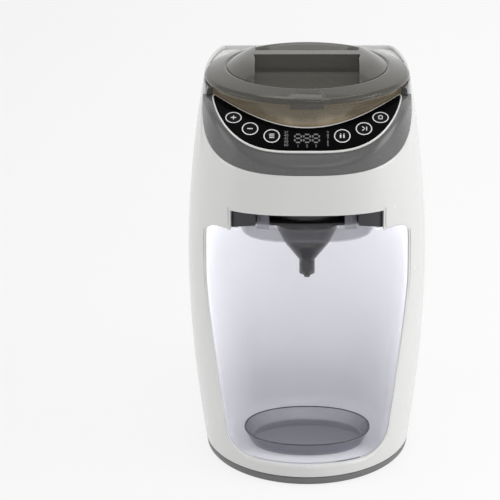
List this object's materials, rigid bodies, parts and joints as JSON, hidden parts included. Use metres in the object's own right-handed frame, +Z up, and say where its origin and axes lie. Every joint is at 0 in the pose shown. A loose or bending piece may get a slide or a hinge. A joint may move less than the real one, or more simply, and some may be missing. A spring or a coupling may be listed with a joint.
{
  "type": "baby formula maker",
  "caption": "Counter-top machine with an oval housing, a lit bottle bay, a powder container with a lid, a funnel drawer, a drip tray and a rear water tank.",
  "frame": {"origin": "middle of the bounding box on the plane that the feet stand on", "axes": "+Z up, -Y towards the user at the control panel, +X to the user's right"},
  "size_m": [0.236, 0.3241, 0.408],
  "materials": {
    "white_gloss": "glossy white moulded housing",
    "white_cove": "glossy white bay lining",
    "console_gray": "satin mid gray",
    "base_gray": "satin gray",
    "smoky": "clear smoky gray",
    "dark_plastic": "fine satin",
    "panel_black": "gloss black film",
    "silver": "satin silver trim",
    "key_black": "gloss black",
    "clear_plastic": "clear gray tint",
    "natural_plastic": "plain off-white moulding",
    "steel": "plain steel",
    "rubber": "matt black",
    "circuit_green": "coated board",
    "hose_white": "silicone",
    "lens_milk": "milky lens"
  },
  "bodies": {
    "housing": {"base_plate": "base_gray", "foot_1": "rubber", "foot_2": "rubber", "foot_3": "rubber", "foot_4": "rubber", "base_screw_1": "steel", "base_screw_2": "steel", "front_cover": "white_gloss", "rear_cover": "white_gloss", "top_deck": "white_gloss", "tank_shelf": "white_gloss", "power_inlet": "dark_plastic", "bay_floor": "white_cove", "bay_wall": "white_cove", "bay_ceiling": "white_cove", "bay_light_left": "lens_milk", "bay_light_right": "lens_milk", "funnel_guide": "dark_plastic", "console_bezel": "console_gray", "panel_frame": "silver", "panel_overlay": "panel_black", "key_membrane": "dark_plastic", "display_module": "dark_plastic", "container_well": "natural_plastic", "powder_chute": "natural_plastic", "drive_plate": "natural_plastic", "dosing_motor": "steel", "tank_seat": "dark_plastic", "water_pump": "dark_plastic", "water_heater": "steel", "inlet_hose": "hose_white", "pump_hose": "hose_white", "outlet_hose": "hose_white", "water_nozzle": "dark_plastic", "control_board": "circuit_green", "power_board": "circuit_green"},
    "tray": {"drip_tray": "clear_plastic"},
    "drawer": {"funnel_holder": "dark_plastic", "splash_plate": "clear_plastic", "funnel": "smoky"},
    "container": {"container_bowl": "smoky", "scraper": "natural_plastic"},
    "lid": {"powder_lid": "smoky", "lid_seal": "rubber"},
    "dosing_rotor": {"dosing_wheel": "natural_plastic", "stirrer": "natural_plastic", "rotor_shaft": "steel", "hub_nut": "natural_plastic"},
    "drive": {"drive_gear": "natural_plastic", "drive_shaft": "steel"},
    "pinion": {"motor_pinion": "natural_plastic"},
    "tank": {"water_tank": "clear_plastic"},
    "tank_cover": {"tank_lid": "dark_plastic"},
    "valve": {"tank_valve": "rubber"},
    "plus_key": {"key_1": "key_black"},
    "minus_key": {"key_2": "key_black"},
    "third_key": {"key_3": "key_black"},
    "sixth_key": {"key_4": "key_black"},
    "fifth_key": {"key_5": "key_black"},
    "fourth_key": {"key_6": "key_black"}
  },
  "joints": [
    {"name": "tray_lift", "type": "slide", "parent": "housing", "child": "tray", "axis": [0, 0, 1], "range_m": [0, 0.04]},
    {"name": "drawer_slide", "type": "slide", "parent": "housing", "child": "drawer", "axis": [0, -1, 0], "range_m": [0, 0.09]},
    {"name": "container_lift", "type": "slide", "parent": "housing", "child": "container", "axis": [0, 0, 1], "range_m": [0, 0.1]},
    {"name": "lid_lift", "type": "slide", "parent": "container", "child": "lid", "axis": [0, 0, 1], "range_m": [0, 0.06]},
    {"name": "drive_spin", "type": "hinge", "parent": "housing", "child": "drive", "pos_m": [0, -0.03113, 0.2965], "axis": [0, 0, 1], "continuous": true},
    {"name": "pinion_spin", "type": "hinge", "parent": "housing", "child": "pinion", "pos_m": [0, 0.00887, 0.2965], "axis": [0, 0, 1], "continuous": true},
    {"name": "rotor_spin", "type": "hinge", "parent": "container", "child": "dosing_rotor", "pos_m": [0, -0.03113, 0.3206], "axis": [0, 0, 1], "continuous": true},
    {"name": "tank_lift", "type": "slide", "parent": "housing", "child": "tank", "axis": [0, 0, 1], "range_m": [0, 0.12]},
    {"name": "tank_lid_lift", "type": "slide", "parent": "tank", "child": "tank_cover", "axis": [0, 0, 1], "range_m": [0, 0.04]},
    {"name": "valve_stroke", "type": "slide", "parent": "tank", "child": "valve", "axis": [0, 0, 1], "range_m": [0, 0.003]},
    {"name": "plus_key_press", "type": "slide", "parent": "housing", "child": "plus_key", "axis": [0, 0.4122, -0.9111], "range_m": [0, 0.0005], "stiffness_N_per_m": 600},
    {"name": "minus_key_press", "type": "slide", "parent": "housing", "child": "minus_key", "axis": [0, 0.536, -0.8442], "range_m": [0, 0.0005], "stiffness_N_per_m": 600},
    {"name": "third_key_press", "type": "slide", "parent": "housing", "child": "third_key", "axis": [0, 0.6042, -0.7968], "range_m": [0, 0.0005], "stiffness_N_per_m": 600},
    {"name": "sixth_key_press", "type": "slide", "parent": "housing", "child": "sixth_key", "axis": [0, 0.4122, -0.9111], "range_m": [0, 0.0005], "stiffness_N_per_m": 600},
    {"name": "fifth_key_press", "type": "slide", "parent": "housing", "child": "fifth_key", "axis": [0, 0.536, -0.8442], "range_m": [0, 0.0005], "stiffness_N_per_m": 600},
    {"name": "fourth_key_press", "type": "slide", "parent": "housing", "child": "fourth_key", "axis": [0, 0.6042, -0.7968], "range_m": [0, 0.0005], "stiffness_N_per_m": 600}
  ],
  "couplings": [
    {"joint": "pinion_spin", "follows": "drive_spin", "ratio": -3},
    {"joint": "rotor_spin", "follows": "drive_spin", "ratio": 1}
  ]
}
